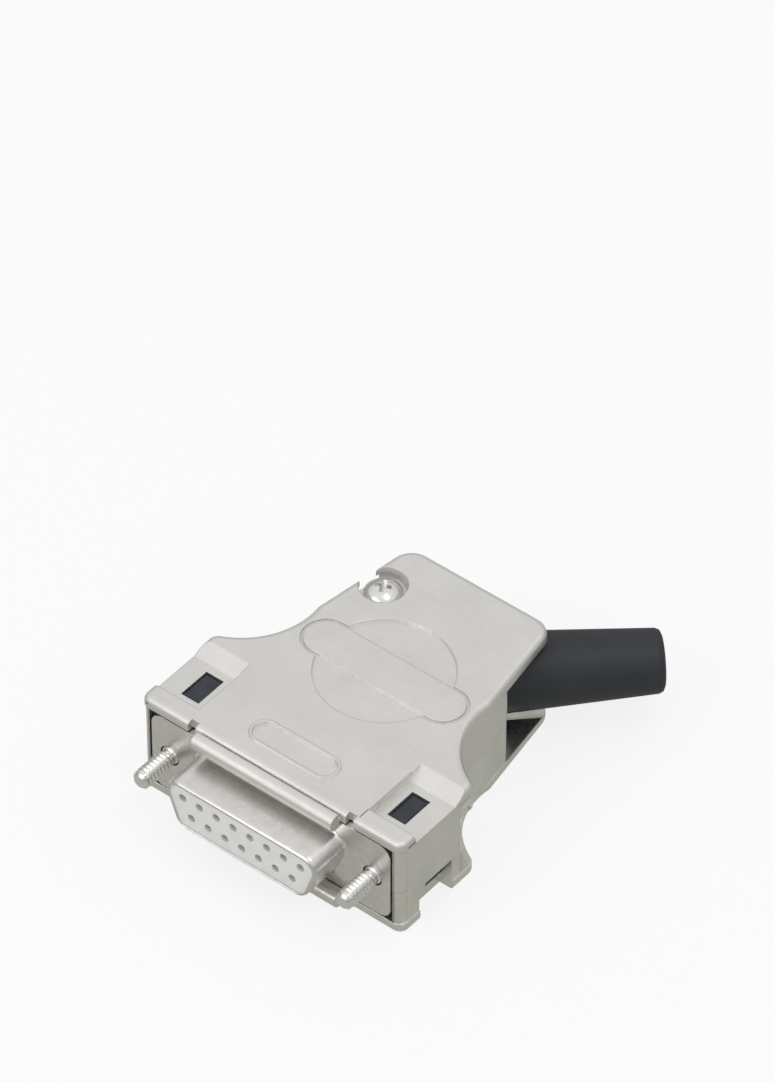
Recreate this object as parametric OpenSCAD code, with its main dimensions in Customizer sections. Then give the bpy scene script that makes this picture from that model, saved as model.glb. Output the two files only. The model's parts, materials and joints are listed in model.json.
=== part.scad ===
// Die-cast hood for a 15-way sub-miniature connector, with the cable leaving at 45 degrees.
// The two half shells close on a step, hold the connector's flange between lips at the front,
// and clamp the cable in a saddle behind a rubber boot.
//
// The origin is on the underside, on the centreline, in the plane of the connector's flange face.
// +X is to the right seen from above, +Y runs to the rear and +Z is up.

/* [Hood] */
// Width across the two front corners
hood_w = 42.8; // [42.4:0.2:44]
// Length from the flange face to the rear edge
hood_l = 43; // [42.6:0.2:45]
// Height of the closed hood
hood_h = 16; // [15.8:0.1:16.6]
// Thickness of the floor and of the top
skin = 1.5; // [1.4:0.05:1.6]
// Thickness of the side and rear walls
wall = 1.3; // [1.2:0.05:1.4]
// Height of the joint between the two shells
split_z = 7.2; // [7:0.1:7.4]
// Half the width at the neck, where the corners have died away
neck_half = 14.1; // [13.9:0.1:14.4]
// Radius of the hollow behind each front corner
neck_r = 11.4; // [10.5:0.1:12]

/* [Connector] */
// Width of the flange (standard shell size)
flange_w = 39.14; // [38.9:0.02:39.4]
// Height of the flange
flange_h = 12.55; // [12.4:0.05:12.6]
// Distance between the two jackscrews (standard shell size)
screw_pitch = 33.32; // [33.2:0.02:33.4]
// Width of the mating shell
shell_w = 24.66; // [24.5:0.02:24.8]
// Height of the mating shell
shell_h = 7.9; // [7.8:0.02:8]
// Distance between neighbouring contacts in a row
contact_pitch = 2.76; // [2.7:0.01:2.8]
// Distance between the two contact rows
row_gap = 2.84; // [2.8:0.01:2.9]

/* [Cable outlet] */
// Angle of the cable outlet from straight back
outlet_angle = 45; // [44:0.5:46]
// Diameter of the boot at its wide end
boot_d = 11; // [10.6:0.1:11]
// Diameter of the boot at its tip
boot_tip_d = 8.6; // [8:0.1:9]
// Length of the boot behind its flange
boot_l = 23.3; // [20:0.1:26]
// Bore of the boot, which is the thickest cable that it takes
boot_bore = 6.8; // [5.5:0.1:7]
// Distance between the two clamp screws
clamp_pitch = 17.2; // [17:0.1:17.4]

/* [Fits] */
// Radial clearance of screws and pins that turn in a bore
turn_gap = 0.05; // [0.03:0.01:0.08]
// Gap between parts that drop into a slot
slot_gap = 0.1; // [0.08:0.01:0.14]

/* [Hidden] */
$fn = 48;
eps = 0.01;
nickel = [0.80, 0.79, 0.77];
satin_nickel = [0.83, 0.82, 0.80];
bright_nickel = [0.86, 0.86, 0.85];
raw_zinc = [0.60, 0.59, 0.57];
black_nylon = [0.13, 0.15, 0.18];
black_rubber = [0.12, 0.14, 0.17];
white_pbt = [0.93, 0.93, 0.92];
gold = [0.85, 0.75, 0.50];
mid_z = hood_h / 2;
top_z = hood_h - skin;

// Outline of both shells
neck_y = 25.3;
taper_angle = 8.5;
front_r = 1.3;
shoulder_r = 1.5;
rear_r = 3;
neck_x = neck_half + neck_r;
shoulder_x = hood_w / 2 - shoulder_r;
shoulder_y = neck_y - sqrt(pow(neck_r + shoulder_r, 2) - pow(neck_x - shoulder_x, 2));
shoulder_angle = atan2(neck_y - shoulder_y, neck_x - shoulder_x);
taper_x0 = neck_x - neck_r * cos(taper_angle);
taper_y0 = neck_y + neck_r * sin(taper_angle);
rear_x = taper_x0 - (hood_l - rear_r - taper_y0) * tan(taper_angle) - rear_r / cos(taper_angle);

// Walls, counted inward from the outline
wall_inset = 0.2;
wall_front_half = 15.1;
lip_t = 0.6;
tongue_h = 0.8;
well_front = 2.4;
well_rear = 12;
cheek_t = 1.6;
well_inner_t = 0.9;
rim_t = 1.1;

// Front lips that hold the connector's flange
flange_t = 1.6;
flange_grip = 0.675;
lip_half = 12;
lip_reach = 2;
lip_z = mid_z - flange_h / 2 + flange_grip;
rib_t = 0.8;

// Jackscrews, clips and their windows
screw_x = screw_pitch / 2;
screw_tip_y = -6;
screw_len = 24;
thread_r = 1.4;
shaft_r = 1.45;
collar_r = 1.7;
head_r = 2.1;
clip_y = 7;
clip_len = 5.8;
clip_inner = 1.6;
clip_outer = 2.6;
window_w = 2.9;
window_l = 5.1;
window_x = screw_x + 0.25;

// Cable clamp, in a frame turned to the outlet: u along the cable, v across it
axis_x = 0.5;
axis_y = 32;
boss_r = 3.2;
boss_top = split_z + tongue_h;
screw_m25 = 1.25;
saddle_l = 9;
saddle_w = 11.3;
saddle_u = -0.6;
saddle_r = 5;
saddle_t = 1;
saddle_z = mid_z - saddle_r - saddle_t;
saddle_top = boss_top - slot_gap;
strap_w = 6.1;
strap_t = 0.8;
strap_dip = 1.8;

// Boot and its two collars
collar_u = 4.7;
collar_t = 2.9;
collar_w = 14;
collar_h = 6.9;
ring_r = 6.4;
ring_l = 1.5;
boot_flange = 11;
boot_flange_t = 2.3;
pocket_t = 2.1;
mouth_u = 8.6;
mouth_half = 6.4;

// Cover screw
cover_screw_x = -10;
cover_screw_y = 35.1;
ring_boss_r = 1.9;
screw_m3 = 1.5;
pan_r = 2.6;
pan_h = 1.9;
counterbore_r = 3.3;
counterbore_d = 2;

// Fields on the cover's top
disc_r = 9.3;
bar_l = 26;
bar_w = 6.8;
oval_l = 13.9;
oval_w = 4.2;
field_rim = 0.4;
field_y = 23;
oval_y = 5;

// Connector
shell_reach = 6;
shell_t = 0.4;
block_w = 27.3;
block_h = 10.7;
contact_r = 0.8;
contact_l = 16;

function contact_name(i) = str("contact_", i < 10 ? "0" : "", i);

// Points of an arc about (x, y), from angle a to angle b in n steps
function arc(x, y, r, a, b, n) =
    [for (i = [0:n]) [x + r * cos(a + (b - a) * i / n), y + r * sin(a + (b - a) * i / n)]];

// A half outline followed by its mirror image, so that the loop closes on itself
function both_sides(half) =
    concat(half, [for (i = [len(half) - 1:-1:0]) [-half[i][0], half[i][1]]]);

// Rear corner of the tapered body, drawn in by d
function rear_arc(d) = arc(rear_x, hood_l - rear_r, rear_r - d, taper_angle, 90, 8);

// Full outline of the shells, drawn in by d: corner, shoulder, hollow neck, taper and rear corner
function outline(d) = both_sides(concat(
    arc(hood_w / 2 - front_r, front_r, front_r - d, -90, 0, 4),
    arc(shoulder_x, shoulder_y, shoulder_r - d, 0, shoulder_angle, 6),
    arc(neck_x, neck_y, neck_r + d, 180 + shoulder_angle, 180 - taper_angle, 14),
    rear_arc(d)));

// The tapered body alone, drawn in by d and carried forward to y beside the jackscrews
function body(d, y) = both_sides(concat(
    [[wall_front_half - d, y], [taper_x0 - d, taper_y0]],
    rear_arc(d)));

// Plate with the full outline
module plate(z0, z1) {
    translate([0, 0, z0]) linear_extrude(z1 - z0) polygon(outline(0));
}

// Cutter that runs round the outline and rounds the edge of a plate at height z.
// The round is size deep, and faces up or down.
module edge_round(z, size, up) {
    round_off = [[-0.9, -0.03], [-0.4, 0.12], [-0.12, 0.4], [0.09, 1.2]];
    section = concat([[0.4, 1.2], [0.4, -0.4], [-0.9, -0.4]], round_off);
    rings = [for (q = section) [for (p = outline(q[1] * size)) [p[0], p[1], z + (up ? 1 : -1) * q[0] * size]]];
    n = len(rings[0]);
    m = len(rings);
    sides = [for (k = [0:m - 1], i = [0:n - 1])
        let (a = k * n, b = (k + 1) % m * n, j = (i + 1) % n)
        up ? [a + i, a + j, b + j, b + i] : [a + i, b + i, b + j, a + j]];
    polyhedron([for (r = rings) each r], sides);
}

module slab(x0, x1, y0, y1, z0, z1) {
    translate([x0, y0, z0]) cube([x1 - x0, y1 - y0, z1 - z0]);
}

// Copies a right-hand feature to the left
module both() {
    children();
    mirror([1, 0, 0]) children();
}

// Turns a child into the cable's frame, with its axis along local X
module on_outlet() {
    translate([axis_x, axis_y, 0]) rotate([0, 0, 90 - outlet_angle]) children();
}

// The two clamp screws' places, at plus and minus half their distance across the cable
module at_clamp_screws() {
    for (side = [-1, 1]) on_outlet() translate([0, side * clamp_pitch / 2, 0]) children();
}

// A straight slot with round ends, centred on its middle
module stadium(length, width) {
    for (side = [-1, 1]) translate([side * (length - width) / 2, 0]) circle(d = width);
    square([length - width, width], center = true);
}

// Side and rear walls between insets d0 and d1, open at the front and at the cable's mouth
module walls(z0, z1, d0, d1) {
    difference() {
        translate([0, 0, z0]) linear_extrude(z1 - z0) difference() {
            polygon(body(d0, well_rear - 1));
            polygon(body(d1, well_rear - 2));
        }
        on_outlet() translate([0, -mouth_half, z0 - 1]) cube([30, 2 * mouth_half, z1 - z0 + 2]);
        on_outlet() translate([mouth_u, -20, z0 - 1]) cube([30, 40, z1 - z0 + 2]);
    }
}

// Posts beside the mouth, with the slots that the boot collars drop into
module mouth_posts(z0, z1) {
    post_u0 = collar_u - 0.8;
    slot_half = collar_w / 2 + slot_gap;
    difference() {
        intersection() {
            translate([0, 0, z0]) linear_extrude(z1 - z0) polygon(body(wall_inset, well_rear));
            on_outlet() for (side = [-1, 1])
                translate([post_u0, side * (mouth_half + 1.2) - 1.2, z0])
                    cube([mouth_u - post_u0, 2.4, z1 - z0]);
        }
        on_outlet() translate([collar_u - slot_gap, -slot_half, z0 - 1])
            cube([collar_t + 2 * slot_gap, 2 * slot_half, z1 - z0 + 2]);
    }
}

// One front corner: a box round the jackscrew, open inside, with a notch front and rear
module well(z0, z1, outer_z0, outer_z1) {
    inner_x = screw_x - 2.76;
    outer_x = hood_w / 2 - wall_inset;
    slab(inner_x, inner_x + well_inner_t, well_front, well_rear, z0, z1);
    slab(inner_x, outer_x - rim_t, well_front, well_front + cheek_t, z0, z1);
    slab(inner_x, outer_x, well_rear - cheek_t, well_rear, z0, z1);
    slab(outer_x - rim_t, outer_x, front_r, well_rear, outer_z0, outer_z1);
}

// Round-bottomed notch for a jackscrew through both walls of a well, opening up or down
// and the relief that its head turns in behind the well
module jackscrew_notch(up) {
    notch_r = shaft_r + 0.3;
    translate([screw_x, well_rear, mid_z]) rotate([-90, 0, 0]) cylinder(r = head_r + 0.25, h = 7);
    translate([screw_x, well_front - 1, mid_z]) rotate([-90, 0, 0])
        cylinder(r = notch_r, h = well_rear - well_front + 2);
    translate([screw_x - notch_r, well_front - 1, up ? mid_z : mid_z - 3])
        cube([2 * notch_r, well_rear - well_front + 2, 3]);
}

// Lower half shell, with the floor, the clamp bosses and the cable's channel
module base_shell() {
    color(nickel) difference() {
        union() {
            plate(0, skin);
            walls(skin - eps, split_z, wall_inset, wall_inset + wall);
            walls(skin - eps, split_z + tongue_h, wall_inset + lip_t + slot_gap, wall_inset + wall);
            mouth_posts(skin - eps, split_z);
            both() well(skin - eps, split_z, 0.3, split_z);
            front_lip(lip_half);
            base_bosses();
            saddle_seat();
        }
        edge_round(0, 0.6, false);
        fitted_room();
        both() jackscrew_notch(true);
        both() base_corner_cuts();
        base_screw_holes();
        on_outlet() outlet_channel();
    }
}

// Nose ahead of the flange and the rib behind it, which hold the flange's edge.
// It is drawn from the outer face at z = 0 upwards, and the cover's is turned over.
module front_lip(half) {
    nose_r = lip_z / 2;
    section = concat(
        [[front_r, 0], [front_r, skin], [-slot_gap, skin], [-slot_gap, lip_z]],
        arc(nose_r - lip_reach, lip_z - nose_r, nose_r, 90, 270, 12));
    translate([-half, 0, 0]) rotate([90, 0, 90]) linear_extrude(2 * half) polygon(section);
    rib_y = flange_t + slot_gap;
    slab(-lip_half, lip_half, rib_y, rib_y + rib_t, skin - eps, lip_z - 0.1);
}

// Room for the connector's flange, and for a clip between the walls of its well
module fitted_room() {
    gap = slot_gap / 2;
    slab(-flange_w / 2 - gap, flange_w / 2 + gap, -gap, flange_t + gap,
        mid_z - flange_h / 2 - gap, mid_z + flange_h / 2 + gap);
    both() slab(screw_x - clip_inner - gap, screw_x + clip_outer + gap, clip_y - clip_len / 2 - gap,
        clip_y + clip_len / 2 + gap, skin + gap, top_z - gap);
}

// Window for a clip's feet, and the side left open below the rim
module base_corner_cuts() {
    translate([window_x, clip_y, 0]) cube([window_w, window_l, 6], center = true);
    slab(hood_w / 2 - 2.2, hood_w / 2 + 1, 3.8, well_rear - cheek_t, -1, 3.6);
    slab(hood_w / 2 - 2.2, hood_w / 2 + 1, 5, well_rear - cheek_t, -1, 5.4);
}

// Bosses for the cover screw and for the two clamp screws, joined to the walls
module base_bosses() {
    intersection() {
        union() {
            at_clamp_screws() cylinder(r = boss_r, h = boss_top);
            translate([cover_screw_x, cover_screw_y, 0]) cylinder(r = boss_r - 0.3, h = boss_top);
            slab(cover_screw_x, axis_x - 3.6, cover_screw_y + 1.5, hood_l - 1, 0.5, boss_top);
            slab(axis_x + 6, hood_w / 2, axis_y - 8.6, axis_y - 3.5, 0.5, split_z);
        }
        linear_extrude(boss_top) polygon(body(wall_inset + lip_t + slot_gap, well_rear));
    }
    translate([cover_screw_x, cover_screw_y, 0]) cylinder(r = ring_boss_r, h = boss_top + 0.4);
}

// Rails and ribs on the floor that carry the saddle
module saddle_seat() {
    on_outlet() {
        for (side = [-1, 1]) translate([saddle_u + side * (saddle_l / 2 + 0.3) - 0.2, -7, skin - eps])
            cube([0.4, 14, 1]);
        for (u = [-3, 0, 3]) translate([saddle_u + u - 0.4, -5, skin - eps])
            cube([0.8, 10, saddle_z - skin + eps]);
    }
}

// Threads for the screws, a flat pocket for the saddle and the space between the bosses
module base_screw_holes() {
    at_clamp_screws() translate([0, 0, skin]) cylinder(r = screw_m25 + turn_gap, h = hood_h);
    translate([cover_screw_x, cover_screw_y, skin]) cylinder(r = screw_m3 + turn_gap, h = hood_h);
    on_outlet() translate([-6, -saddle_w / 2 - slot_gap, saddle_z])
        cube([collar_u + 5, saddle_w + 2 * slot_gap, hood_h]);
}

// Shallow round channel in the floor below the boot, and the seats of the lower collar
module outlet_channel() {
    translate([collar_u, 0, mid_z]) rotate([0, 90, 0]) cylinder(r = ring_r + 0.5, h = 30);
    translate([collar_u - slot_gap, -collar_w / 2 - slot_gap, mid_z - collar_h])
        cube([collar_t + 2 * slot_gap, collar_w + 2 * slot_gap, hood_h]);
}

// Upper half shell, with the round and oval fields on its top and its one screw
module cover_shell() {
    color(satin_nickel) difference() {
        union() {
            plate(top_z, hood_h);
            walls(split_z, top_z + eps, wall_inset, wall_inset + lip_t);
            walls(boss_top + slot_gap, top_z + eps, wall_inset, wall_inset + wall);
            mouth_posts(split_z, top_z + eps);
            both() well(split_z, top_z + eps, split_z, top_z + eps);
            translate([0, 0, hood_h]) mirror([0, 0, 1]) front_lip(lip_half - 0.5);
            cover_screw_post();
            translate([0, oval_y, hood_h - eps]) linear_extrude(0.15) stadium(oval_l, oval_w);
        }
        edge_round(hood_h, 1, true);
        fitted_room();
        walls(split_z - 1, boss_top + slot_gap, wall_inset + lip_t, wall_inset + wall + slot_gap);
        both() jackscrew_notch(false);
        both() cover_corner_cuts();
        cover_top_fields();
        cover_screw_hole();
        on_outlet() cover_outlet_cuts();
    }
}

// Column round the cover screw: a wide head under the counterbore and a slim neck below it
module cover_screw_post() {
    intersection() {
        translate([cover_screw_x, cover_screw_y, 0]) union() {
            translate([0, 0, top_z - 2]) cylinder(r = 4, h = 2 + eps);
            translate([0, 0, boss_top + strap_t + 0.2]) cylinder(r = 2.2, h = top_z - boss_top - strap_t);
        }
        linear_extrude(hood_h - 1) polygon(body(wall_inset, well_rear));
    }
}

// Window for a clip's hook, the sunk corner pad and the slot beside it
module cover_corner_cuts() {
    translate([window_x, clip_y, hood_h]) cube([window_w, window_l, 6], center = true);
    slab(window_x - 3, hood_w, -1, clip_y + window_l / 2 + 1.6, hood_h - 0.45, hood_h + 1);
    slab(lip_half + 0.3, lip_half + 1.5, -lip_reach - 1, 1, 0, hood_h + 1);
}

// Round field with the bar across it, and the small oval field near the front
module cover_top_fields() {
    translate([0, field_y, hood_h - 0.3]) linear_extrude(1) difference() {
        circle(disc_r);
        stadium(bar_l, bar_w);
    }
    translate([0, field_y, hood_h - 0.3]) linear_extrude(1) difference() {
        stadium(bar_l, bar_w);
        stadium(bar_l - 2 * field_rim, bar_w - 2 * field_rim);
    }
    translate([0, oval_y, hood_h - 0.2]) linear_extrude(1)
        stadium(oval_l - 2 * field_rim, oval_w - 2 * field_rim);
}

// Counterbore and clearance hole of the cover screw
module cover_screw_hole() {
    translate([cover_screw_x, cover_screw_y, 0]) cylinder(r = screw_m3 + turn_gap, h = hood_h + 1);
    translate([cover_screw_x, cover_screw_y, hood_h - counterbore_d])
        cylinder(r = counterbore_r, h = counterbore_d + 1);
    translate([cover_screw_x, cover_screw_y, split_z - 1]) cylinder(r = ring_boss_r + 0.2, h = 2.8);
}

// Seat of the upper collar in the cover's underside, and the round channel over the boot
module cover_outlet_cuts() {
    translate([collar_u, 0, mid_z]) rotate([0, 90, 0]) cylinder(r = ring_r + 0.2, h = 30);
    translate([collar_u - slot_gap, -collar_w / 2 - slot_gap, 0])
        cube([collar_t + 2 * slot_gap, collar_w + 2 * slot_gap, mid_z + collar_h + slot_gap / 2]);
}

// A cross-recessed screw with a domed head, standing on its head's underside at z = 0
module pan_screw(r, length) {
    color(bright_nickel) difference() {
        union() {
            translate([0, 0, -length]) cylinder(r = r, h = length + eps);
            intersection() {
                cylinder(r = pan_r, h = pan_h);
                translate([0, 0, pan_h - 3.4]) sphere(r = 3.4);
            }
        }
        for (turn = [0, 90]) rotate([0, 0, turn]) translate([0, 0, pan_h])
            cube([2.8, 0.65, 2.2], center = true);
    }
}

module cover_screw() {
    length = hood_h - counterbore_d - skin - 2.5;
    translate([cover_screw_x, cover_screw_y, hood_h - counterbore_d]) pan_screw(screw_m3, length);
}

module clamp_screw(side) {
    on_outlet() translate([0, side * clamp_pitch / 2, boss_top + strap_t]) pan_screw(screw_m25, boss_top - skin + 0.1);
}

// Bent strap over the cable, with a lug at each end and a tongue towards the connector
module clamp_bridge() {
    lug_v = saddle_r - 0.3;
    dip_v = saddle_r - 1.9;
    dip_z = boss_top - strap_dip;
    color(bright_nickel) on_outlet() difference() {
        union() {
            for (side = [-1, 1]) translate([0, side * clamp_pitch / 2, boss_top])
                cylinder(d = strap_w, h = strap_t);
            rotate([90, 0, 90]) translate([0, 0, -strap_w / 2]) linear_extrude(strap_w) polygon([
                [-clamp_pitch / 2, boss_top], [-lug_v, boss_top], [-dip_v, dip_z], [dip_v, dip_z],
                [lug_v, boss_top], [clamp_pitch / 2, boss_top], [clamp_pitch / 2, boss_top + strap_t],
                [lug_v - 0.4, boss_top + strap_t], [dip_v - 0.4, dip_z + strap_t],
                [0.4 - dip_v, dip_z + strap_t], [0.4 - lug_v, boss_top + strap_t],
                [-clamp_pitch / 2, boss_top + strap_t]]);
            translate([-strap_w / 2 - 4.3, -2.65, dip_z]) cube([5, 5.3, strap_t]);
        }
        for (side = [-1, 1]) translate([0, side * clamp_pitch / 2, 0])
            cylinder(r = screw_m25 + turn_gap, h = hood_h);
        translate([-strap_w / 2 - 3.2, -1.25, 0]) cube([2.3, 2.5, hood_h]);
    }
}

// Trough that the cable lies in, ribbed at both ends so that the cable can't slip
module cable_saddle() {
    color(raw_zinc) on_outlet() difference() {
        translate([saddle_u - saddle_l / 2, -saddle_w / 2, saddle_z])
            cube([saddle_l, saddle_w, saddle_top - saddle_z]);
        translate([saddle_u, 0, mid_z]) rotate([0, 90, 0])
            cylinder(r = saddle_r - 0.35, h = saddle_l + 1, center = true);
        translate([saddle_u, 0, mid_z]) rotate([0, 90, 0]) cylinder(r = saddle_r, h = 3, center = true);
        for (side = [-1, 1], k = [0:2])
            translate([saddle_u + side * (2.15 + 0.8 * k), 0, mid_z]) rotate([0, 90, 0])
                cylinder(r = saddle_r, h = 0.4, center = true);
        translate([saddle_u - saddle_l / 2 - 1, 0, saddle_z]) rotate([0, 90, 0])
            cylinder(r = 1.3, h = saddle_l + 2, $fn = 32);
        for (v = [-3.9, 3.9]) translate([saddle_u - saddle_l / 2 - 0.4, v, saddle_z + 2.2]) rotate([0, 90, 0])
            cylinder(r = 0.55, h = 1, $fn = 24);
    }
}

// Captive screw with a slotted head, lying along Y on the connector's screw line
module jackscrew() {
    tip = screw_tip_y;
    color(bright_nickel) translate([screw_x, 0, mid_z]) difference() {
        rotate([-90, 0, 0]) rotate_extrude() polygon([
            [0, tip], [thread_r - 0.4, tip], [thread_r, tip + 0.4], [thread_r, tip + 5.2],
            [thread_r - 0.3, tip + 5.3], [thread_r - 0.3, tip + 5.8], [thread_r, tip + 6],
            [thread_r, tip + 7.8], [shaft_r, tip + 7.9], [shaft_r, tip + 11.5],
            [collar_r, tip + 11.5], [collar_r, tip + 12.3], [shaft_r, tip + 12.3], [shaft_r, tip + 12.9],
            [collar_r, tip + 12.9], [collar_r, tip + 13.7], [shaft_r, tip + 13.7], [shaft_r, tip + 20.3],
            [head_r, tip + 20.8], [head_r, tip + screw_len - 0.3], [head_r - 0.3, tip + screw_len],
            [0, tip + screw_len]]);
        translate([-3, tip + screw_len - 1.3, -0.4]) cube([6, 2, 0.8]);
    }
}

// Moulded clip that carries a jackscrew and hooks into the windows of both shells
module latch_clip() {
    hook_w = window_w - 0.2;
    foot_l = 1.9;
    half = window_l / 2 - slot_gap;
    inner = screw_x - clip_inner;
    outer = screw_x + clip_outer;
    y0 = clip_y - clip_len / 2;
    y1 = clip_y + clip_len / 2;
    color(black_nylon) difference() {
        union() {
            slab(outer - 1.4, outer, y0, y1, skin + slot_gap, top_z - slot_gap);
            slab(inner, outer, y0, y1, skin + slot_gap, mid_z - 0.2);
            slab(inner, outer, clip_y - half, clip_y + half, mid_z + 4.2, top_z - slot_gap);
            hull() {
                slab(window_x - hook_w / 2, window_x + hook_w / 2, clip_y - half, clip_y + half,
                    top_z - 0.5, hood_h - 0.8);
                slab(window_x - hook_w / 2 + 0.6, window_x + hook_w / 2 - 0.2, clip_y - half + 0.3,
                    clip_y + half - 0.3, top_z, hood_h - 0.5);
            }
            for (y = [clip_y - half, clip_y + half - foot_l])
                slab(window_x - hook_w / 2, window_x + hook_w / 2, y, y + foot_l, 0.5, skin + 0.5);
            slab(inner - 0.15, inner + 0.4, y0 + 0.6, y0 + 1.4, mid_z - 2.6, mid_z - 1.2);
        }
        translate([screw_x, clip_y, mid_z]) rotate([90, 0, 0])
            cylinder(r = collar_r + turn_gap, h = clip_len + 2, center = true);
        slab(outer - 0.4, outer + 1, y0 + 1, y1 - 1, skin + 1.2, mid_z - 1.5);
        translate([screw_x, clip_y, skin]) rotate([0, 90, 0])
            cylinder(r = half - foot_l, h = 8, center = true, $fn = 32);
    }
}

// Rubber boot: a square flange with clipped corners and a tapered tube
module cable_boot() {
    tube_u = collar_u - 0.2 + boot_flange_t;
    half = boot_flange / 2;
    clip = 1.6;
    color(black_rubber) on_outlet() translate([0, 0, mid_z]) difference() {
        union() {
            translate([collar_u - 0.2, 0, 0]) rotate([90, 0, 90]) linear_extrude(boot_flange_t) polygon([
                [half, half - clip], [half - clip, half], [clip - half, half], [-half, half - clip],
                [-half, clip - half], [clip - half, -half], [half - clip, -half], [half, clip - half]]);
            translate([tube_u, 0, 0]) rotate([0, 90, 0]) rotate_extrude() polygon([
                [0, -eps], [boot_d / 2, -eps], [boot_tip_d / 2, boot_l - 0.8],
                [boot_tip_d / 2 - 0.25, boot_l - 0.25], [boot_tip_d / 2 - 0.8, boot_l], [0, boot_l]]);
        }
        translate([0, 0, 0]) rotate([0, 90, 0]) cylinder(d = boot_bore, h = 60);
    }
}

// One half of the cast collar round the boot: a plate, a pocket for the flange and a half ring
module boot_collar(up) {
    pocket = boot_flange + 0.3;
    color(satin_nickel) on_outlet() translate([0, 0, mid_z]) mirror([0, 0, up ? 0 : 1]) difference() {
        union() {
            translate([collar_u, -collar_w / 2, slot_gap / 4]) cube([collar_t, collar_w, collar_h - slot_gap / 4]);
            intersection() {
                translate([collar_u, 0, 0]) rotate([0, 90, 0]) cylinder(r = ring_r, h = collar_t + ring_l);
                translate([0, -10, slot_gap / 4]) cube([20, 20, 10]);
            }
        }
        rotate([0, 90, 0]) cylinder(d = boot_d + 0.3, h = 30);
        translate([collar_u - 1, -pocket / 2, -1]) cube([1 + pocket_t, pocket, pocket / 2 + 1]);
    }
}

// D-shaped section of the mating shell, drawn in by d, with sides that lean in by 10 degrees
module d_section(d) {
    half_w = shell_w / 2 - d;
    half_h = shell_h / 2 - d;
    lean = 2 * half_h * tan(10);
    r = max(2.2 - d, 0.5);
    hull() for (side = [-1, 1]) {
        translate([side * (half_w - r), half_h - r]) circle(r, $fn = 32);
        translate([side * (half_w - lean - r), r - half_h]) circle(r, $fn = 32);
    }
}

// Flat flange with rounded corners and its two screw holes, lying in the XZ plane
module flange_plate(thickness) {
    r = 1.8;
    difference() {
        linear_extrude(thickness) union() {
            square([flange_w - 2 * r, flange_h], center = true);
            square([flange_w, flange_h - 2 * r], center = true);
            for (x = [-1, 1], y = [-1, 1])
                translate([x * (flange_w / 2 - r), y * (flange_h / 2 - r)]) circle(r);
        }
        for (x = [-screw_x, screw_x]) translate([x, 0, -1]) cylinder(d = 3.05, h = thickness + 2);
    }
}

// Stands a section drawn in the XY plane upright at y, extruding towards the rear
module upright(y) {
    translate([0, y, mid_z]) rotate([-90, 0, 0]) mirror([0, 1, 0]) children();
}

module connector_front_shell() {
    color(satin_nickel) difference() {
        union() {
            upright(0) flange_plate(flange_t / 2);
            upright(-shell_reach) linear_extrude(shell_reach + eps) d_section(0);
        }
        upright(-shell_reach - 1) linear_extrude(shell_reach + 3) d_section(shell_t);
    }
}

module rear_block(y, length, inset) {
    upright(y) linear_extrude(length) square([block_w - 2 * inset, block_h - 2 * inset], center = true);
}

module connector_rear_shell() {
    color(satin_nickel) difference() {
        union() {
            upright(flange_t / 2) flange_plate(flange_t / 2);
            rear_block(flange_t - eps, 4.2, 0);
        }
        rear_block(flange_t / 2 - 1, 8, shell_t);
    }
}

// Place of contact i: eight in the upper row, seven in the lower
function contact_at(i) = i <= 8
    ? [(i - 4.5) * contact_pitch, row_gap / 2]
    : [(i - 12) * contact_pitch, -row_gap / 2];

module contact_bores(y, length, r) {
    for (i = [1:15]) let (p = contact_at(i))
        translate([p[0], y, mid_z + p[1]]) rotate([-90, 0, 0]) cylinder(r = r, h = length, $fn = 24);
}

module insulator_front() {
    color(white_pbt) difference() {
        union() {
            upright(0.3 - shell_reach) linear_extrude(shell_reach + 0.6) d_section(shell_t + 0.05);
            rear_block(flange_t / 2 + 0.02, 2.6, shell_t + 0.05);
        }
        contact_bores(-7, 12, 0.58);
        contact_bores(-5, 12, contact_r + 0.03);
    }
}

module insulator_rear() {
    y0 = flange_t / 2 + 2.64;
    color(white_pbt) difference() {
        union() {
            rear_block(y0, 4.4, shell_t + 0.05);
            upright(y0 + 4.3) linear_extrude(2) square([24, 0.9], center = true);
            for (i = [1:15]) let (p = contact_at(i), up = sign(p[1]))
                translate([p[0] - 0.9, y0 + 4.3, mid_z + (up > 0 ? 0 : -4.2)]) cube([0.5, 2, 4.2]);
        }
        contact_bores(0, 12, contact_r + 0.03);
    }
}

// Turned contact: a socket at the front and a solder cup at the rear
module contact(i) {
    p = contact_at(i);
    y0 = -4.95;
    color(gold) translate([p[0], y0, mid_z + p[1]]) rotate([-90, 0, 0]) difference() {
        cylinder(r = contact_r, h = contact_l, $fn = 24);
        translate([0, 0, -1]) cylinder(r = 0.55, h = 6.5, $fn = 24);
        translate([0, 0, 13.2]) cylinder(r = 0.55, h = 4, $fn = 24);
        translate([-1, p[1] > 0 ? -1.2 : 0.2, 13.8]) cube([2, 1, 4]);
    }
}

base_shell();
cover_shell();
cover_screw();
clamp_bridge();
clamp_screw(1);  // clamp_screw_rear
clamp_screw(-1);  // clamp_screw_front
cable_saddle();
mirror([1, 0, 0]) jackscrew();  // jackscrew_left
jackscrew();  // jackscrew_right
mirror([1, 0, 0]) latch_clip();  // latch_clip_left
latch_clip();  // latch_clip_right
cable_boot();
boot_collar(true);  // boot_collar_upper
boot_collar(false);  // boot_collar_lower
connector_front_shell();
connector_rear_shell();
insulator_front();
insulator_rear();
for (i = [1:15]) contact(i);
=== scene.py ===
import json
import math

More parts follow.
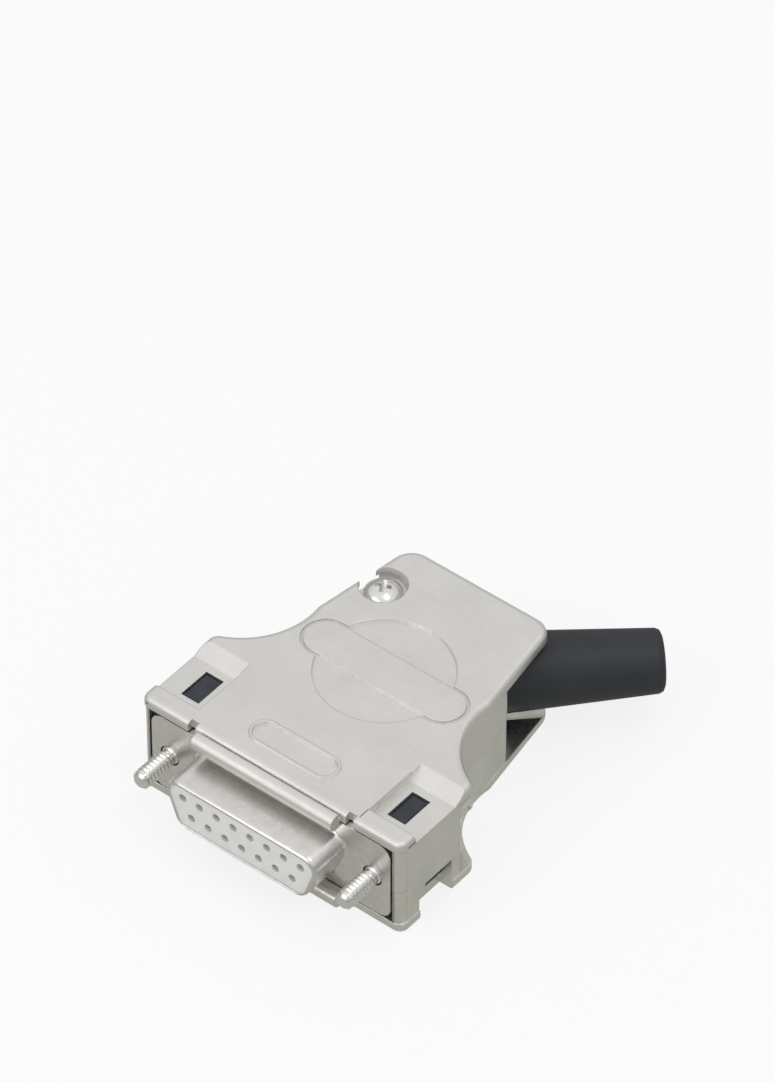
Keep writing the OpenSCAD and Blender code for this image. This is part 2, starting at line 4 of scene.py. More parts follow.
import bmesh
import bpy
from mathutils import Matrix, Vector

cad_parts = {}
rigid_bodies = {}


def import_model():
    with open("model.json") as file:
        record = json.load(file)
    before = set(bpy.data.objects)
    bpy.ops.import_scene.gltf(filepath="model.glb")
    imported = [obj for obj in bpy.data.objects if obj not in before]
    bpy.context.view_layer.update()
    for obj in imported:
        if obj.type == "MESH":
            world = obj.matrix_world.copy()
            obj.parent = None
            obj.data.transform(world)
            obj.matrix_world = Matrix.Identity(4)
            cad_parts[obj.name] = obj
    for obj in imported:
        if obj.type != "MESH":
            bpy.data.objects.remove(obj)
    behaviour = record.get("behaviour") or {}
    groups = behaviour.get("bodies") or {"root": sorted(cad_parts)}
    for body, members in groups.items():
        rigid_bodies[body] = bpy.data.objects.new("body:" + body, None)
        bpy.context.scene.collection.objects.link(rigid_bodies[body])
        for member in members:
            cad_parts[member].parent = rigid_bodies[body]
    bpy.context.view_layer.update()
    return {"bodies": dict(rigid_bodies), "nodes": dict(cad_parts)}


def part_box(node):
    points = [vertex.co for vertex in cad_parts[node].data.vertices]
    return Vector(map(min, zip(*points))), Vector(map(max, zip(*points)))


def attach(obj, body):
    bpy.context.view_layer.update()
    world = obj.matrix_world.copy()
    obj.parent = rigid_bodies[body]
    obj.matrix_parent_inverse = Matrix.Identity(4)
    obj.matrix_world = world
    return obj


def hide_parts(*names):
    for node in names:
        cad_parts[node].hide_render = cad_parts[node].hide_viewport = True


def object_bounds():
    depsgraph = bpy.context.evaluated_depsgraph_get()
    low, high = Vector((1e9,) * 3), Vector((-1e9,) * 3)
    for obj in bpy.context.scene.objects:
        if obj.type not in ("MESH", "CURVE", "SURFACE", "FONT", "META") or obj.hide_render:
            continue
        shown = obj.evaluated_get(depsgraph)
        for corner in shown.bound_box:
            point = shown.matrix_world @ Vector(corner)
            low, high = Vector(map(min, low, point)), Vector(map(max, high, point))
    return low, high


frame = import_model()
MM = 0.001


# ---- Camera ------------------------------------------------------------------------------
# The hood is seen from its front right corner and from above, through a long lens that keeps
# its edges parallel. The view leaves room above it for the cover to lift off.
base_low, base_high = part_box("base_shell")
LENS = 250.0
SENSOR = 36.0
VIEW_AZIMUTH = math.radians(39)
VIEW_ELEVATION = math.radians(44.2)
VIEW_HEIGHT = 135.6 * MM
aim = Vector((0.9 * MM, (base_low[1] + base_high[1]) / 2 + 2.0 * MM, 40 * MM))
towards_camera = Vector((
    math.sin(VIEW_AZIMUTH) * math.cos(VIEW_ELEVATION),
    -math.cos(VIEW_AZIMUTH) * math.cos(VIEW_ELEVATION),
    math.sin(VIEW_ELEVATION),
))
lens_data = bpy.data.cameras.new("camera")
lens_data.lens = LENS
lens_data.sensor_width = SENSOR
camera = bpy.data.objects.new("camera", lens_data)
bpy.context.collection.objects.link(camera)
camera.location = aim + towards_camera * (VIEW_HEIGHT * LENS / SENSOR)
camera.rotation_euler = towards_camera.to_track_quat("Z", "Y").to_euler()
lens_data.clip_start = 0.01
lens_data.clip_end = 10.0
bpy.context.scene.camera = camera
bpy.context.scene.view_settings.view_transform = "Standard"


# ---- Base shell --------------------------------------------------------------------------
# The lower half of the hood: a zinc die casting with a bright nickel plate that shows the
# flow marks of the metal. Everything else stands in it.
class Wire:
    """A shader socket that takes part in sums, so that a finish reads as arithmetic."""

    def __init__(self, wiring, socket):
        self.wiring = wiring
        self.socket = socket

    def _sum(self, operation, *terms):
        return self.wiring.node("ShaderNodeMath", {"operation": operation}, dict(enumerate(terms)))

    def __add__(self, other):
        return self._sum("ADD", self, other)

    def __radd__(self, other):
        return self._sum("ADD", other, self)

    def __mul__(self, other):
        return self._sum("MULTIPLY", self, other)

    def __rmul__(self, other):
        return self._sum("MULTIPLY", other, self)


class Wiring:
    """A node tree, and the one way that nodes are added to it."""

    def __init__(self, tree):
        self.tree = tree
        tree.nodes.clear()

    def add(self, kind, settings=None, inputs=None):
        """A node of this type. Its settings are made first, then its sockets' values or links."""
        made = self.tree.nodes.new(kind)
        for name, value in (settings or {}).items():
            if name == "stops":
                self.set_stops(made.color_ramp.elements, value)
            else:
                setattr(made, name, value)
        for name, value in (inputs or {}).items():
            self.feed(made.inputs[name], value)
        return made

    def node(self, kind, settings=None, inputs=None, output=0):
        return Wire(self, self.add(kind, settings, inputs).outputs[output])

    def feed(self, socket, value):
        if isinstance(value, Wire):
            self.tree.links.new(value.socket, socket)
        else:
            socket.default_value = value

    def set_stops(self, elements, stops):
        while len(elements) < len(stops):
            elements.new(0.5)
        for element, (position, color) in zip(elements, stops):
            element.position = position
            element.color = color

    def mix(self, factor, first, second):
        """Goes from the first colour to the second as the factor goes from 0 to 1."""
        return self.node("ShaderNodeMix", {"data_type": "RGBA"}, {0: factor, 6: first, 7: second}, 2)


class Finish(Wiring):
    """One material: its nodes, its shader and the textures that its look is made from."""

    def __init__(self, name, **fixed):
        self.material = bpy.data.materials.new(name)
        self.material.use_nodes = True
        super().__init__(self.material.node_tree)
        self.shader = self.add("ShaderNodeBsdfPrincipled")
        self.surface = self.add("ShaderNodeOutputMaterial").inputs["Surface"]
        self.feed(self.surface, Wire(self, self.shader.outputs[0]))
        self.set(**fixed)
        self.place = self.node("ShaderNodeTexCoord", output="Object")

    def set(self, **values):
        for name, value in values.items():
            self.feed(self.shader.inputs[name.replace("_", " ")], value)

    def noise(self, size, detail=3.0, roughness=0.5):
        """Noise whose blotches are about size metres across, from 0 to 1."""
        return self.node("ShaderNodeTexNoise", {}, {
            "Vector": self.place, "Scale": 1.0 / size, "Detail": detail, "Roughness": roughness})

    def ramp(self, value, low, high):
        """0 where the value is at low, 1 where it is at high, and clamped."""
        return self.node("ShaderNodeMapRange", {"clamp": True}, {
            "Value": value, "From Min": low, "From Max": high})

    def bump(self, height, distance, strength, normal):
        return self.node("ShaderNodeBump", {}, {
            "Height": height, "Distance": distance, "Strength": strength, "Normal": normal})

    def soft_edges(self, radius):
        """Rounds the shading of sharp edges, as plating and tumbling do."""
        return self.node("ShaderNodeBevel", {"samples": 4}, {"Radius": radius})


def rgb(red, green, blue):
    return (red, green, blue, 1.0)


def cad_object(node):
    return frame["nodes"][node]


def dress(node, finish):
    """Gives a CAD piece its finish, in every slot that it has."""
    piece = cad_object(node)
    slots = piece.data.materials
    if not len(slots):
        slots.append(finish.material)
    for index in range(len(slots)):
        slots[index] = finish.material


def cast_metal(name, light, dark, rough, grain, grain_depth):
    """Plated casting: slow flow marks in the colour, a fine grain in the surface."""
    metal = Finish(name, Metallic=1.0)
    flow = metal.ramp(metal.noise(6 * MM, 4.0, 0.6), 0.35, 0.7)
    speck = metal.ramp(metal.noise(0.7 * MM, 3.0, 0.6), 0.35, 0.75)
    metal.set(Base_Color=metal.mix(flow * 0.7 + speck * 0.3, rgb(*light), rgb(*dark)))
    metal.set(Roughness=rough + flow * 0.08 + speck * 0.06)
    edge = metal.soft_edges(0.25 * MM)
    waves = metal.bump(metal.noise(2.5 * MM, 2.0), 0.03 * MM, 0.6, edge)
    metal.set(Normal=metal.bump(metal.noise(grain, 2.0), grain_depth, 0.8, waves))
    return metal


bright_casting = cast_metal("bright_nickel_casting", (0.83, 0.82, 0.79), (0.68, 0.67, 0.63), 0.24,
                            0.25 * MM, 0.006 * MM)


body_names = {holder: name for name, holder in frame["bodies"].items()}


def body_of_node(node):
    return body_names[cad_object(node).parent]


def add_piece(name, form, finish, stands_for, crease=35, replaces=True):
    """Turns a finished mesh into a piece that moves with a CAD node, and replaces it if asked.

    Edges that turn by more than crease degrees stay sharp, and all of them do at 0.
    """
    bmesh.ops.recalc_face_normals(form, faces=form.faces)
    mesh = bpy.data.meshes.new(name)
    form.to_mesh(mesh)
    form.free()
    if crease:
        mesh.shade_smooth()
        mesh.set_sharp_from_angle(angle=math.radians(crease))
    mesh.materials.append(finish.material)
    piece = bpy.data.objects.new(name, mesh)
    bpy.context.collection.objects.link(piece)
    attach(piece, body_of_node(stands_for))
    if replaces:
        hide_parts(stands_for)
    return piece


def loft(form, rings):
    """Skins a row of rings, each with as many points, and returns their vertices."""
    rows = [[form.verts.new(point) for point in ring] for ring in rings]
    for lower, upper in zip(rows, rows[1:]):
        for i in range(len(lower)):
            j = (i + 1) % len(lower)
            form.faces.new((lower[i], lower[j], upper[j], upper[i]))
    return rows


def stack(outlines):
    """A solid from flat outlines, one above the other, given as height and points in mm."""
    form = bmesh.new()
    rows = loft(form, [[(x * MM, y * MM, z * MM) for x, y in outline] for z, outline in outlines])
    form.faces.new(rows[0])
    form.faces.new(rows[-1])
    return form


CORNER_R = 1.3


def front_corner(side, x0, y1, edge, inset):
    """Plan of a bar along the front edge with a rounded outer corner, in mm, drawn in by inset."""
    radius = CORNER_R - inset
    bend = []
    for degrees in range(0, 105, 15):
        turn = math.radians(degrees)
        bend.append((edge - CORNER_R + radius * math.sin(turn), CORNER_R - radius * math.cos(turn)))
    return [(side * x, y) for x, y in [(x0, inset)] + bend + [(edge - inset, y1), (x0, y1)]]


def wall_ends(shell, finish, z0, z1):
    """The ends of both side walls, which bring them up to the very front edge."""
    for side, name in ((-1, "left"), (1, "right")):
        plan = front_corner(side, 20.12, 1.7, 21.18, 0.02)
        add_piece(f"{shell}_wall_end_{name}", stack([(z0, plan), (z1, plan)]), finish, f"{shell}_shell",
                  crease=30, replaces=False)


dress("base_shell", bright_casting)
wall_ends("base", bright_casting, 1.2, 7.15)


# ---- Cover shell and boot collars ----------------------------------------------------------
# The upper half of the hood and the two halves of the collar: the same zinc casting, tumbled
# before it is plated, so that the nickel is satin and has a fine even grain.
satin_casting = cast_metal("satin_nickel_casting", (0.80, 0.785, 0.76), (0.74, 0.725, 0.70), 0.42,
                           0.16 * MM, 0.012 * MM)


def combined(form, tools, operation="DIFFERENCE"):
    """The form with each tool cut out of it, or joined to it."""
    result = form
    for tool in tools:
        holders = []
        for part in (result, tool):
            bmesh.ops.recalc_face_normals(part, faces=part.faces)
            mesh = bpy.data.meshes.new("working")
            part.to_mesh(mesh)
            part.free()
            holder = bpy.data.objects.new("working", mesh)
            bpy.context.collection.objects.link(holder)
            holders.append(holder)
        step = holders[0].modifiers.new("step", "BOOLEAN")
        step.operation = operation
        step.solver = "EXACT"
        step.object = holders[1]
        bpy.context.view_layer.update()
        shaped = holders[0].evaluated_get(bpy.context.evaluated_depsgraph_get())
        result = bmesh.new()
        result.from_mesh(shaped.data)
        for holder in holders:
            bpy.data.objects.remove(holder)
    return result


def cad_copy(node):
    """A loose copy of a CAD piece, with its facets welded together."""
    source = cad_object(node)
    form = bmesh.new()
    form.from_mesh(source.data)
    form.transform(source.matrix_world)
    bmesh.ops.remove_doubles(form, verts=form.verts, dist=0.001 * MM)
    return form


def block(x0, x1, y0, y1, z0, z1):
    """A plain box, in mm."""
    plan = [(x0, y0), (x1, y0), (x1, y1), (x0, y1)]
    return stack([(z0, plan), (z1, plan)])


COVER_TOP = 16.0
COVER_HALF_W = 21.4
PLATE_UNDER = 14.5
PAD_INNER_X = 14.06
PAD_Z = 14.75
BAND_REAR_Y = 2.75
RAMP_FOOT_Y = 10.7
RAMP_TOP = (13.3, 16.1)
WINDOW = (15.46, 18.36, 4.45, 9.55)
# The band's top edge is rounded: its outline draws in as it rises.
BAND_EDGE = ((14.9, 0.0), (15.1, 0.0), (15.35, 0.03), (15.6, 0.12), (15.78, 0.26), (15.9, 0.44),
             (15.97, 0.66), (COVER_TOP, 0.95))

# Beside the field of the middle lie two pads, sunk behind a band along the front edge, each
# with a ramp at its rear and a window for a clip. Below them the corners are open to the front.
cover_form = cad_copy("cover_shell")
for side in (-1, 1):
    band = stack([(z, front_corner(side, 13.8, BAND_REAR_Y, COVER_HALF_W, inset)) for z, inset in BAND_EDGE])
    cover_form = combined(cover_form, [band], "UNION")
    section = [(BAND_REAR_Y, COVER_TOP + 1), (BAND_REAR_Y + 0.15, PAD_Z), (RAMP_FOOT_Y, PAD_Z), RAMP_TOP,
               (RAMP_TOP[0], COVER_TOP + 1)]
    pad = bmesh.new()
    ends = loft(pad, [[(side * x * MM, y * MM, z * MM) for y, z in section] for x in (PAD_INNER_X, 22.0)])
    for end in ends:
        pad.faces.new(end)
    cheek = block(side * 13.4, side * 20.1, 2.3, 4.1, 7.0, PLATE_UNDER)
    inner_wall = block(side * 13.4, side * 15.3, 4.0, 7.0, 7.0, PLATE_UNDER)
    cover_form = combined(cover_form, [pad, cheek, inner_wall])
    backing = block(side * 13.9, side * 20.4, 2.3, 11.0, PLATE_UNDER - 0.9, PLATE_UNDER + 0.1)
    cover_form = combined(cover_form, [backing], "UNION")
    x0, x1, y0, y1 = WINDOW
    cover_form = combined(cover_form, [block(side * x0, side * x1, y0, y1, 13.0, COVER_TOP + 1)])
bmesh.ops.triangulate(cover_form, faces=cover_form.faces[:])
add_piece("cover_casting", cover_form, satin_casting, "cover_shell", crease=0)
wall_ends("cover", satin_casting, 7.22, 14.8)


def round_edges(form, least_turn, radius, segments, chosen=lambda point: True):
    """Rounds the edges that turn by more than least_turn radians and have both ends chosen."""
    edges = [edge for edge in form.edges if all(chosen(vert.co) for vert in edge.verts)
             and edge.is_manifold and edge.calc_face_angle(0) > least_turn]
    bmesh.ops.bevel(form, geom=edges, offset=radius, offset_type="OFFSET", segments=segments, profile=0.5,
                    affect="EDGES", clamp_overlap=True)


def rounded_copy(node, radius, finish, tools=(), corners=None, corner_radius=0.0):
    """A copy of a CAD piece, cut by some tools and with its edges rounded, which replaces it."""
    form = combined(cad_copy(node), tools)
    bmesh.ops.dissolve_limit(form, angle_limit=math.radians(1.5), verts=form.verts, edges=form.edges)
    if corners:
        round_edges(form, 1.0, corner_radius, 5, corners)
    round_edges(form, math.radians(32), radius, 2)
    bmesh.ops.triangulate(form, faces=[face for face in form.faces if len(face.verts) > 4])
    return add_piece(node + "_form", form, finish, node, crease=40)


# The cable's axis leaves from here, in mm, at 45 degrees to the right and rear.
OUTLET_X = 0.5
OUTLET_Y = 32.0
HALF_TURN = math.sqrt(0.5)


def across(point):
    """How far a point lies to the left of the cable's axis."""
    return ((point[1] - OUTLET_Y * MM) - (point[0] - OUTLET_X * MM)) * HALF_TURN


for piece in ("boot_collar_upper", "boot_collar_lower"):
    outer_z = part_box(piece)[1 if piece.endswith("upper") else 0][2]
    rounded_copy(piece, 0.2 * MM, satin_casting, corner_radius=1.1 * MM, corners=lambda point: (
        abs(across(point)) > 6.9 * MM and abs(point[2] - outer_z) < 0.05 * MM))


# ---- Screws --------------------------------------------------------------------------------
# Turned steel screws with a bright nickel plate: the cover screw, two clamp screws with the
# same domed cross-recessed head, and two long jackscrews with a slotted head.
AROUND = 48


def turned(profile, pitch):
    """A turned form on the Z axis. The profile gives radius, height and depth of thread."""
    rings = []
    for radius, height, thread in profile:
        ring = []
        for i in range(AROUND):
            share = i / AROUND
            wave = abs(2 * ((height / pitch - share) % 1.0) - 1)
            reach = radius - thread * wave
            turn = 2 * math.pi * share
            ring.append((reach * math.cos(turn), reach * math.sin(turn), height))
        rings.append(ring)
    form = bmesh.new()
    rows = loft(form, rings)
    form.faces.new(rows[0])
    form.faces.new(rows[-1])
    return form


def threaded(radius, depth, start, end, pitch):
    """Stations of a thread that runs in and out at its two ends."""
    steps = max(2, round((end - start) / pitch * 8))
    stations = []
    for i in range(steps + 1):
        height = start + (end - start) * i / steps
        run_in = min(1.0, (height - start) / pitch, (end - height) / pitch)
        stations.append((radius - depth * (1 - run_in) * 0.5, height, depth * run_in))
    return stations


def wedge(form, top, bottom, z_top, z_bottom, turn):
    """A tapered bar; top and bottom give its half length and half width."""
    rings = []
    for (half_l, half_w), z in ((bottom, z_bottom), (top, z_top)):
        corners = [(half_l, half_w), (-half_l, half_w), (-half_l, -half_w), (half_l, -half_w)]
        rings.append([(x * math.cos(turn) - y * math.sin(turn), x * math.sin(turn) + y * math.cos(turn), z)
                      for x, y in corners])
    rows = loft(form, rings)
    form.faces.new(rows[0])
    form.faces.new(rows[1])


def turned_metal(name, color, rough):
    """Plated or tinned metal, smooth, with a faint haze."""
    metal = Finish(name, Metallic=1.0)
    haze = metal.ramp(metal.noise(1.2 * MM, 4.0, 0.6), 0.3, 0.75)
    metal.set(Base_Color=metal.mix(haze, rgb(*color), rgb(*[c * 0.86 for c in color])))
    metal.set(Roughness=rough + haze * 0.1)
    metal.set(Normal=metal.bump(metal.noise(0.3 * MM, 2.0), 0.004 * MM, 0.6, metal.soft_edges(0.08 * MM)))
    return metal


screw_metal = turned_metal("bright_screw_metal", (0.86, 0.85, 0.83), 0.16)


def pan_screw(node, pitch):
    """A screw with a domed head and a cross recess, in its CAD piece's place."""
    low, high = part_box(node)
    head_r = (high[0] - low[0]) / 2
    head_h = 1.9 * MM
    shank_r = head_r * (0.577 if node == "cover_screw" else 0.481)
    under = high[2] - head_h - low[2]
    dome_r = 3.4 * MM
    rounded = [(head_r - 0.25 * MM, 0), (head_r - 0.07 * MM, 0.07 * MM), (head_r, 0.25 * MM)]
    dome = []
    for i in range(13):
        reach = (head_r - 0.02 * MM) * (1 - i / 12)
        dome.append((max(reach, 0.02 * MM), head_h - dome_r + math.sqrt(dome_r ** 2 - reach ** 2)))
    profile = [(0.3 * MM, -under, 0), (shank_r - 0.4 * MM, -under, 0)]
    profile += threaded(shank_r, 0.26 * MM, -under + 0.25 * MM, -0.5 * MM, pitch)
    profile += [(shank_r - 0.15 * MM, 0, 0)]
    profile += [(radius, height, 0) for radius, height in rounded + dome]
    cutters = []
    for turn in (0.4, 0.4 + math.pi / 2):
        cutter = bmesh.new()
        wedge(cutter, (1.5 * MM, 0.4 * MM), (0.3 * MM, 0.2 * MM), head_h + 0.3 * MM, head_h - 1.3 * MM, turn)
        cutters.append(cutter)
    form = combined(turned(profile, pitch), cutters)
    bmesh.ops.translate(form, verts=form.verts, vec=(
        (low[0] + high[0]) / 2, (low[1] + high[1]) / 2, high[2] - head_h))
    add_piece(node + "_turned", form, screw_metal, node)


pan_screw("cover_screw", 0.5 * MM)
pan_screw("clamp_screw_rear", 0.45 * MM)
pan_screw("clamp_screw_front", 0.45 * MM)


JACKSCREW_PITCH = 0.635 * MM


def jackscrew(node):
    """A long screw along Y: thread in front, two ribs on its waist and a slotted head behind."""
    low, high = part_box(node)
    thread_r = 1.4 * MM
    shaft_r = 1.45 * MM
    collar_r = 1.7 * MM
    head_r = (high[0] - low[0]) / 2
    length = high[1] - low[1]
    profile = [(0.3 * MM, 0, 0), (thread_r - 0.5 * MM, 0, 0)]
    profile += threaded(thread_r, 0.3 * MM, 0.35 * MM, 5.2 * MM, JACKSCREW_PITCH)
    for radius, height in ((thread_r - 0.3 * MM, 5.3), (thread_r - 0.3 * MM, 5.8), (thread_r - 0.1 * MM, 6.0),
                           (thread_r, 6.15), (thread_r, 7.8), (shaft_r, 7.9), (shaft_r, 11.5),
                           (collar_r - 0.1 * MM, 11.5), (collar_r, 11.6), (collar_r, 12.2),
                           (collar_r - 0.1 * MM, 12.3), (shaft_r, 12.3), (shaft_r, 12.9),
                           (collar_r - 0.1 * MM, 12.9), (collar_r, 13.0), (collar_r, 13.6),
                           (collar_r - 0.1 * MM, 13.7), (shaft_r, 13.7), (shaft_r, 20.2),
                           (shaft_r + 0.15 * MM, 20.4), (head_r - 0.2 * MM, 20.7), (head_r, 20.9)):
        profile.append((radius, height * MM, 0))
    profile += [(head_r, length - 0.35 * MM, 0), (head_r - 0.12 * MM, length - 0.1 * MM, 0),
                (head_r - 0.35 * MM, length, 0), (0.3 * MM, length, 0)]
    cutter = bmesh.new()
    wedge(cutter, (3 * MM, 0.4 * MM), (3 * MM, 0.4 * MM), length + 1 * MM, length - 1.3 * MM, 0.0)
    form = combined(turned(profile, JACKSCREW_PITCH), [cutter])
    for corner in form.verts:
        x, y, z = corner.co
        corner.co = ((low[0] + high[0]) / 2 + x, low[1] + z, (low[2] + high[2]) / 2 - y)
    add_piece(node + "_turned", form, screw_metal, node)


for piece in ("jackscrew_left", "jackscrew_right"):
    jackscrew(piece)


# ---- Clamp bridge --------------------------------------------------------------------------
# A strap of bent spring steel with rounded ends and a tongue, bright nickel as the screws are.
# The two clamp screws pull it down onto the cable.
rounded_copy("clamp_bridge", 0.12 * MM, screw_metal)


# ---- Cable saddle --------------------------------------------------------------------------
# A small unplated zinc casting, matt grey, whose ribbed trough the cable lies in. It stands on
# low ribs of the base, below the strap.
raw_zinc = cast_metal("raw_zinc", (0.42, 0.41, 0.39), (0.33, 0.32, 0.30), 0.5, 0.12 * MM, 0.015 * MM)


def outlet_block(u0, u1, v0, v1, z0, z1):
    """A block that is square to the cable, in mm along it, across it and up."""
    plan = [(OUTLET_X + (u - v) * HALF_TURN, OUTLET_Y + (u + v) * HALF_TURN)
            for u, v in ((u0, v0), (u1, v0), (u1, v1), (u0, v1))]
    return stack([(z0, plan), (z1, plan)])


# Each side wall has a slot that rises from its foot, and two small dimples. A row gives how
# deep each goes, where it starts and ends along the cable, and its lower and upper end.
SIDE_CUTS = ((5.05, -1.53, 0.32, 1.0, 5.6), (5.35, -3.95, -3.45, 4.35, 4.85), (5.35, 1.65, 2.15, 2.65, 3.15))
cuts = []
for side in (-1, 1):
    for bottom, u0, u1, z0, z1 in SIDE_CUTS:
        near, far = sorted((side * bottom, side * 6.5))
        cuts.append(outlet_block(u0, u1, near, far, z0, z1))
rounded_copy("cable_saddle", 0.1 * MM, raw_zinc, tools=cuts)


# ---- Latch clips ---------------------------------------------------------------------------
# Glass-filled nylon mouldings, black with a blue cast and a slight sheen. One stands in each
# front corner, astride its jackscrew.
nylon = Finish("black_nylon", Metallic=0.0)
patch = nylon.ramp(nylon.noise(1.5 * MM, 3.0), 0.3, 0.7)
nylon.set(Base_Color=nylon.mix(patch, rgb(0.016, 0.020, 0.028), rgb(0.028, 0.034, 0.045)))
nylon.set(Roughness=0.38 + patch * 0.14)
nylon.set(Normal=nylon.bump(nylon.noise(0.2 * MM, 2.0), 0.01 * MM, 0.6, nylon.soft_edges(0.15 * MM)))

# The hook ends just below the sunk pad that it holds.
HOOK_FOOT_Z = 13 * MM
HOOK_DROP = 0.9 * MM
for piece in ("latch_clip_left", "latch_clip_right"):
    clip = rounded_copy(piece, 0.15 * MM, nylon)
    for vertex in clip.data.vertices:
        if vertex.co.z > HOOK_FOOT_Z:
            vertex.co.z -= HOOK_DROP


# ---- Cable boot ----------------------------------------------------------------------------
# A soft rubber moulding: a tapered tube round the cable, with a square flange that the two
# collars hold.
rubber = Finish("black_rubber", Metallic=0.0)
bloom = rubber.ramp(rubber.noise(3 * MM, 4.0, 0.6), 0.3, 0.75)
rubber.set(Base_Color=rubber.mix(bloom, rgb(0.013, 0.016, 0.022), rgb(0.024, 0.028, 0.036)))
rubber.set(Roughness=0.5 + bloom * 0.12)
rubber.set(Normal=rubber.bump(rubber.noise(0.25 * MM, 2.0), 0.012 * MM, 0.6, rubber.soft_edges(0.3 * MM)))
dress("cable_boot", rubber)


# ---- Connector -----------------------------------------------------------------------------
# Two pressed and tinned steel shells round a white moulding with fifteen contacts. Its flange
# is held between the two halves of the hood.
tinned_steel = turned_metal("tinned_steel", (0.80, 0.775, 0.76), 0.26)
dress("connector_rear_shell", tinned_steel)
shell_low, shell_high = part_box("connector_front_shell")
shell_mid_z = (shell_low[2] + shell_high[2]) / 2
flange_back = shell_high[1]
screw_line = (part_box("jackscrew_right")[0][0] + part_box("jackscrew_right")[1][0]) / 2


def corner(x, z, radius, start, end, steps=8):
    return [(x + radius * math.cos(math.radians(start + (end - start) * i / steps)),
             z + radius * math.sin(math.radians(start + (end - start) * i / steps)))
            for i in range(steps + 1)]


def d_outline(inset):
    """The D of the mating face, drawn in by inset, with sides that lean in by ten degrees."""
    half_w = 12.33 * MM - inset
    half_h = 3.95 * MM - inset
    lean = 2 * half_h * math.tan(math.radians(10))
    radius = 2.2 * MM - inset
    slope = math.degrees(math.atan2(lean, 2 * (half_h - radius)))
    right = corner(half_w - radius, half_h - radius, radius, 90, -slope)
    right += corner(half_w - lean - radius, radius - half_h, radius, -slope, -90)
    return right + [(-x, z) for x, z in reversed(right)]


def standing(outline, y):
    return [(x, y, shell_mid_z + z) for x, z in outline]


def flange_face(form, y, inner):
    """One face of the flange: its outline, its two screw holes and the opening in the middle."""
    half_w = (shell_high[0] - shell_low[0]) / 2
    half_h = (shell_high[2] - shell_low[2]) / 2
    radius = 1.8 * MM
    rim = (corner(half_w - radius, half_h - radius, radius, 90, 0)
           + corner(half_w - radius, radius - half_h, radius, 0, -90))
    rim += [(-x, z) for x, z in reversed(rim)]
    loops = [standing(rim, y), standing(inner, y)]
    for side in (-1, 1):
        loops.append(standing(corner(side * screw_line, 0, 1.525 * MM, 0, 360 - 360 / 40, 39), y))
    rows = [[form.verts.new(point) for point in loop] for loop in loops]
    edges = [form.edges.new((row[i], row[(i + 1) % len(row)])) for row in rows for i in range(len(row))]
    bmesh.ops.triangle_fill(form, edges=edges, use_beauty=True)
    return rows


form = bmesh.new()
front = flange_face(form, 0, d_outline(-0.55 * MM))
back = flange_face(form, flange_back, d_outline(0.4 * MM))
for number in (0, 2, 3):
    for i in range(len(front[number])):
        j = (i + 1) % len(front[number])
        form.faces.new((front[number][i], front[number][j], back[number][j], back[number][i]))
reach = shell_low[1]
drawn = [(-0.55, 0), (-0.3, -0.05), (-0.12, -0.18), (-0.03, -0.36), (0, -0.55)]
rings = [standing(d_outline(inset * MM), y * MM) for inset, y in drawn]
for inset, back_from_tip in ((0, 0.75), (0.05, 0.48), (0.17, 0.24), (0.34, 0.08), (0.52, 0.02), (0.60, 0.1),
                             (0.60, 0.5), (0.40, 0.7)):
    rings.append(standing(d_outline(inset * MM), reach + back_from_tip * MM))
rings.append(standing(d_outline(0.4 * MM), flange_back))
loft(form, rings)
bmesh.ops.remove_doubles(form, verts=form.verts, dist=0.002 * MM)
add_piece("connector_front_form", form, tinned_steel, "connector_front_shell", 38)

white_moulding = Finish("white_moulding", Metallic=0.0)
cloud = white_moulding.ramp(white_moulding.noise(2 * MM, 3.0), 0.3, 0.7)
white_moulding.set(Base_Color=white_moulding.mix(cloud, rgb(0.80, 0.80, 0.79), rgb(0.74, 0.74, 0.73)))
white_moulding.set(Roughness=0.42 + cloud * 0.1)
white_moulding.set(Normal=white_moulding.bump(
    white_moulding.noise(0.3 * MM, 2.0), 0.008 * MM, 0.5, white_moulding.soft_edges(0.12 * MM)))
for piece in ("insulator_front", "insulator_rear"):
    dress(piece, white_moulding)

contact_metal = turned_metal("contact_metal", (0.80, 0.70, 0.52), 0.22)
for number in range(1, 16):
    dress(f"contact_{number:02d}", contact_metal)


# ---- Studio --------------------------------------------------------------------------------
# A pale floor and a pale surround, both white when seen straight on, which metal sees as a
# soft grey room. One large soft lamp and a small one light the hood.
floor_mesh = bpy.data.meshes.new("floor")
half_floor = 2.0
floor_mesh.from_pydata([(-half_floor, -half_floor, 0), (half_floor, -half_floor, 0),
                        (half_floor, half_floor, 0), (-half_floor, half_floor, 0)], [], [(0, 1, 2, 3)])
floor = bpy.data.objects.new("floor", floor_mesh)
bpy.context.collection.objects.link(floor)
floor.location.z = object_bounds()[0][2]
paper = Finish("pale_paper", Base_Color=rgb(0.86, 0.86, 0.86), Roughness=0.9)
floor_mesh.materials.append(paper.material)


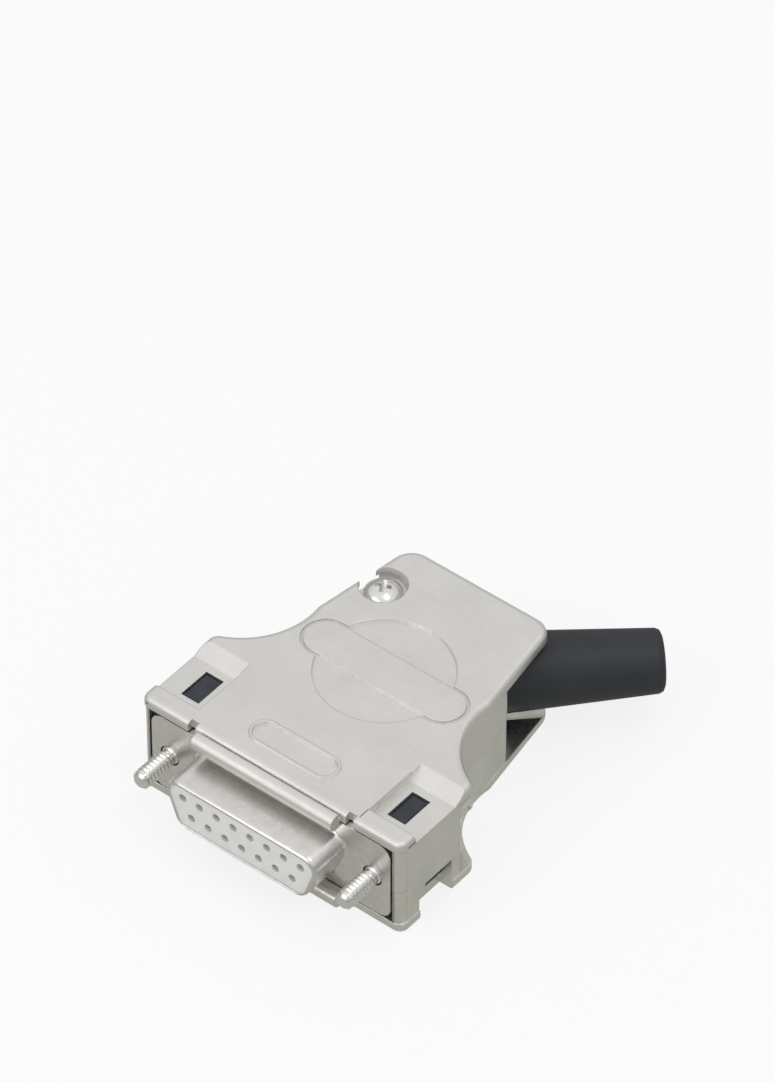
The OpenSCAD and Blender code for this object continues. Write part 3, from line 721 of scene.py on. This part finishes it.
def seen_as(ray, share, color, first):
    """What rays of one kind see instead of the floor's own surface."""
    glow = paper.node("ShaderNodeEmission", {}, {"Color": color, "Strength": 1.0})
    return paper.node("ShaderNodeMixShader", {}, {0: rays[ray] * share, 1: first, 2: glow})


light_path = paper.add("ShaderNodeLightPath")
rays = {name: Wire(paper, light_path.outputs[name]) for name in ("Is Glossy Ray", "Is Camera Ray")}
own = Wire(paper, paper.shader.outputs[0])
mirrored = seen_as("Is Glossy Ray", 0.85, rgb(0.44, 0.445, 0.40), own)
paper.feed(paper.surface, seen_as("Is Camera Ray", 0.82, rgb(1.0, 1.0, 1.0), mirrored))

world = bpy.data.worlds.new("surround")
bpy.context.scene.world = world
world.use_nodes = True
surround = Wiring(world.node_tree)
direction = surround.node("ShaderNodeTexCoord", output="Generated")
upward = surround.node("ShaderNodeSeparateXYZ", {}, {0: direction}, "Z")
room = surround.node("ShaderNodeValToRGB", {"stops": (
    (0.0, rgb(0.30, 0.30, 0.28)), (0.18, rgb(0.34, 0.345, 0.32)),
    (0.42, rgb(0.72, 0.72, 0.71)), (0.85, rgb(0.86, 0.86, 0.86)))}, {0: upward})
straight = surround.node("ShaderNodeLightPath", output="Is Camera Ray")
background = surround.node("ShaderNodeBackground", {}, {
    "Color": surround.mix(straight, room, rgb(1.0, 1.0, 1.0)), "Strength": 1.0})
surround.add("ShaderNodeOutputWorld", {}, {"Surface": background})


def soft_lamp(name, azimuth, elevation, distance, size, power):
    """A square soft lamp that looks at the middle of the hood."""
    lamp_data = bpy.data.lights.new(name, "AREA")
    lamp_data.size = size
    lamp_data.energy = power
    lamp = bpy.data.objects.new(name, lamp_data)
    bpy.context.collection.objects.link(lamp)
    azimuth, elevation = math.radians(azimuth), math.radians(elevation)
    out = Vector((math.sin(azimuth) * math.cos(elevation), -math.cos(azimuth) * math.cos(elevation),
                  math.sin(elevation)))
    lamp.location = aim + out * distance
    lamp.rotation_euler = out.to_track_quat("Z", "Y").to_euler()


soft_lamp("key_lamp", -15, 32, 0.8, 0.6, 1.3)
soft_lamp("spark_lamp", 88, 70, 0.5, 0.14, 0.22)
